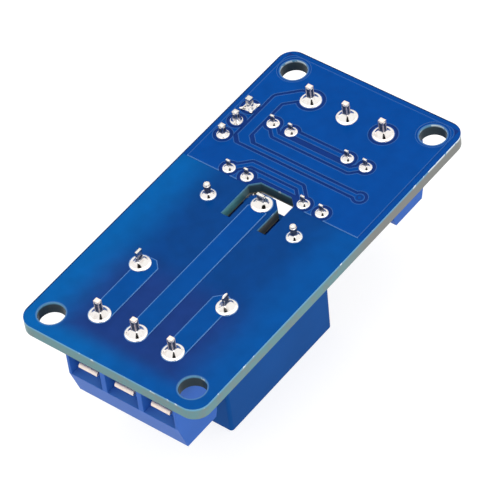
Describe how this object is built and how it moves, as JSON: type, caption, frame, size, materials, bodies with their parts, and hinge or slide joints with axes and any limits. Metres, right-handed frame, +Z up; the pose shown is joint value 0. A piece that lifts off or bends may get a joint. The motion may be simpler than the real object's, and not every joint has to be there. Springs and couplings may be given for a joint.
{
  "type": "relay module board",
  "caption": "Small blue relay board lying on its relay, solder side up, with screw terminal blocks at both ends and an isolation slot.",
  "frame": {"origin": "centre of the board's outline, at the level of the relay's flat top, on which the board lies", "axes": "+X along the board's length from the relay contact terminals towards the supply terminals, +Y across the board towards the pin header, +Z up out of the solder side"},
  "size_m": [0.0494, 0.0252, 0.0189],
  "materials": {
    "black_epoxy": "moulded black epoxy",
    "bobbin_plastic": "moulded black thermoplastic",
    "chip_ceramic": "black glazed chip resistor",
    "contact_silver": "silver alloy contact",
    "enamelled_copper": "enamelled copper wire, as one winding",
    "fr4_solder_mask": "glass-fibre laminate under a glossy blue solder mask",
    "header_plastic": "moulded black thermoplastic",
    "jumper_plastic": "moulded yellow thermoplastic",
    "lead_tin": "tinned lead frame",
    "led_body": "white chip lamp with a clear lens",
    "masked_copper": "copper tracks and pour under the same blue mask",
    "optocoupler_epoxy": "moulded off-white epoxy",
    "relay_base_plastic": "moulded base, matte",
    "relay_plastic": "moulded blue case, satin",
    "soft_iron": "nickel-plated soft iron",
    "solder": "bright wetted solder",
    "spring_copper": "phosphor-bronze sheet",
    "terminal_plastic": "moulded blue thermoplastic, satin",
    "tinned_brass": "tin-plated, soft shine",
    "tinned_pins": "tin-plated copper alloy",
    "zinc_plated_steel": "bright zinc plating"
  },
  "bodies": {
    "root": {"chip_resistors": "chip_ceramic", "circuit_board": "fr4_solder_mask", "coil_bobbin": "bobbin_plastic", "coil_core": "soft_iron", "coil_pins": "tinned_pins", "coil_winding": "enamelled_copper", "common_terminal": "tinned_pins", "diode_leads": "lead_tin", "driver_transistor": "black_epoxy", "flyback_diode": "black_epoxy", "header_pins": "tinned_pins", "header_solder": "solder", "header_strip": "header_plastic", "input_contact_frame_1": "tinned_brass", "input_contact_frame_2": "tinned_brass", "input_contact_frame_3": "tinned_brass", "input_terminal_housing": "terminal_plastic", "magnet_yoke": "soft_iron", "normally_closed_terminal": "tinned_pins", "normally_open_terminal": "tinned_pins", "optocoupler_1_body": "optocoupler_epoxy", "optocoupler_1_leads": "lead_tin", "optocoupler_2_body": "optocoupler_epoxy", "optocoupler_2_leads": "lead_tin", "optocoupler_solder": "solder", "output_contact_frame_1": "tinned_brass", "output_contact_frame_2": "tinned_brass", "output_contact_frame_3": "tinned_brass", "output_terminal_housing": "terminal_plastic", "power_led": "led_body", "relay_base": "relay_base_plastic", "relay_cover": "relay_plastic", "relay_solder": "solder", "solder_side_copper": "masked_copper", "surface_mount_solder": "solder", "switch_led": "led_body", "terminal_solder": "solder", "transistor_leads": "lead_tin"},
    "output_guard_1": {"output_wire_guard_1": "tinned_brass"},
    "output_screw_1": {"output_clamp_screw_1": "zinc_plated_steel"},
    "output_guard_2": {"output_wire_guard_2": "tinned_brass"},
    "output_screw_2": {"output_clamp_screw_2": "zinc_plated_steel"},
    "output_guard_3": {"output_wire_guard_3": "tinned_brass"},
    "output_screw_3": {"output_clamp_screw_3": "zinc_plated_steel"},
    "input_guard_1": {"input_wire_guard_1": "tinned_brass"},
    "input_screw_1": {"input_clamp_screw_1": "zinc_plated_steel"},
    "input_guard_2": {"input_wire_guard_2": "tinned_brass"},
    "input_screw_2": {"input_clamp_screw_2": "zinc_plated_steel"},
    "input_guard_3": {"input_wire_guard_3": "tinned_brass"},
    "input_screw_3": {"input_clamp_screw_3": "zinc_plated_steel"},
    "armature": {"armature": "soft_iron", "contact_spring": "spring_copper", "moving_contact": "contact_silver"},
    "jumper": {"jumper_cap": "jumper_plastic", "jumper_clip": "spring_copper"}
  },
  "joints": [
    {"name": "output_guard_slide_1", "type": "slide", "parent": "root", "child": "output_guard_1", "axis": [0, 0, 1], "range_m": [0, 0.00265]},
    {"name": "output_screw_turn_1", "type": "hinge", "parent": "output_guard_1", "child": "output_screw_1", "pos_m": [-0.0194, -0.00498, 0.0075], "axis": [0, 0, 1], "range_deg": [0, 1910]},
    {"name": "output_guard_slide_2", "type": "slide", "parent": "root", "child": "output_guard_2", "axis": [0, 0, 1], "range_m": [0, 0.00265]},
    {"name": "output_screw_turn_2", "type": "hinge", "parent": "output_guard_2", "child": "output_screw_2", "pos_m": [-0.0194, 0.0001, 0.0075], "axis": [0, 0, 1], "range_deg": [0, 1910]},
    {"name": "output_guard_slide_3", "type": "slide", "parent": "root", "child": "output_guard_3", "axis": [0, 0, 1], "range_m": [0, 0.00265]},
    {"name": "output_screw_turn_3", "type": "hinge", "parent": "output_guard_3", "child": "output_screw_3", "pos_m": [-0.0194, 0.00518, 0.0075], "axis": [0, 0, 1], "range_deg": [0, 1910]},
    {"name": "input_guard_slide_1", "type": "slide", "parent": "root", "child": "input_guard_1", "axis": [0, 0, 1], "range_m": [0, 0.00265]},
    {"name": "input_screw_turn_1", "type": "hinge", "parent": "input_guard_1", "child": "input_screw_1", "pos_m": [0.01925, -0.00498, 0.0075], "axis": [0, 0, 1], "range_deg": [0, 1910]},
    {"name": "input_guard_slide_2", "type": "slide", "parent": "root", "child": "input_guard_2", "axis": [0, 0, 1], "range_m": [0, 0.00265]},
    {"name": "input_screw_turn_2", "type": "hinge", "parent": "input_guard_2", "child": "input_screw_2", "pos_m": [0.01925, 0.0001, 0.0075], "axis": [0, 0, 1], "range_deg": [0, 1910]},
    {"name": "input_guard_slide_3", "type": "slide", "parent": "root", "child": "input_guard_3", "axis": [0, 0, 1], "range_m": [0, 0.00265]},
    {"name": "input_screw_turn_3", "type": "hinge", "parent": "input_guard_3", "child": "input_screw_3", "pos_m": [0.01925, 0.00518, 0.0075], "axis": [0, 0, 1], "range_deg": [0, 1910]},
    {"name": "armature_hinge", "type": "hinge", "parent": "root", "child": "armature", "pos_m": [0.00262, 0.0001, 0.00335], "axis": [0, 1, 0], "range_deg": [0, 3.4], "stiffness_Nm_per_rad": 0.01, "springref_deg": -2.86},
    {"name": "jumper_slide", "type": "slide", "parent": "root", "child": "jumper", "axis": [0, 0, -1], "range_m": [0, 0.0055]}
  ],
  "couplings": [
    {"joint": "output_screw_turn_1", "follows": "output_guard_slide_1", "rad_per_m": 12566},
    {"joint": "output_screw_turn_2", "follows": "output_guard_slide_2", "rad_per_m": 12566},
    {"joint": "output_screw_turn_3", "follows": "output_guard_slide_3", "rad_per_m": 12566},
    {"joint": "input_screw_turn_1", "follows": "input_guard_slide_1", "rad_per_m": 12566},
    {"joint": "input_screw_turn_2", "follows": "input_guard_slide_2", "rad_per_m": 12566},
    {"joint": "input_screw_turn_3", "follows": "input_guard_slide_3", "rad_per_m": 12566}
  ]
}
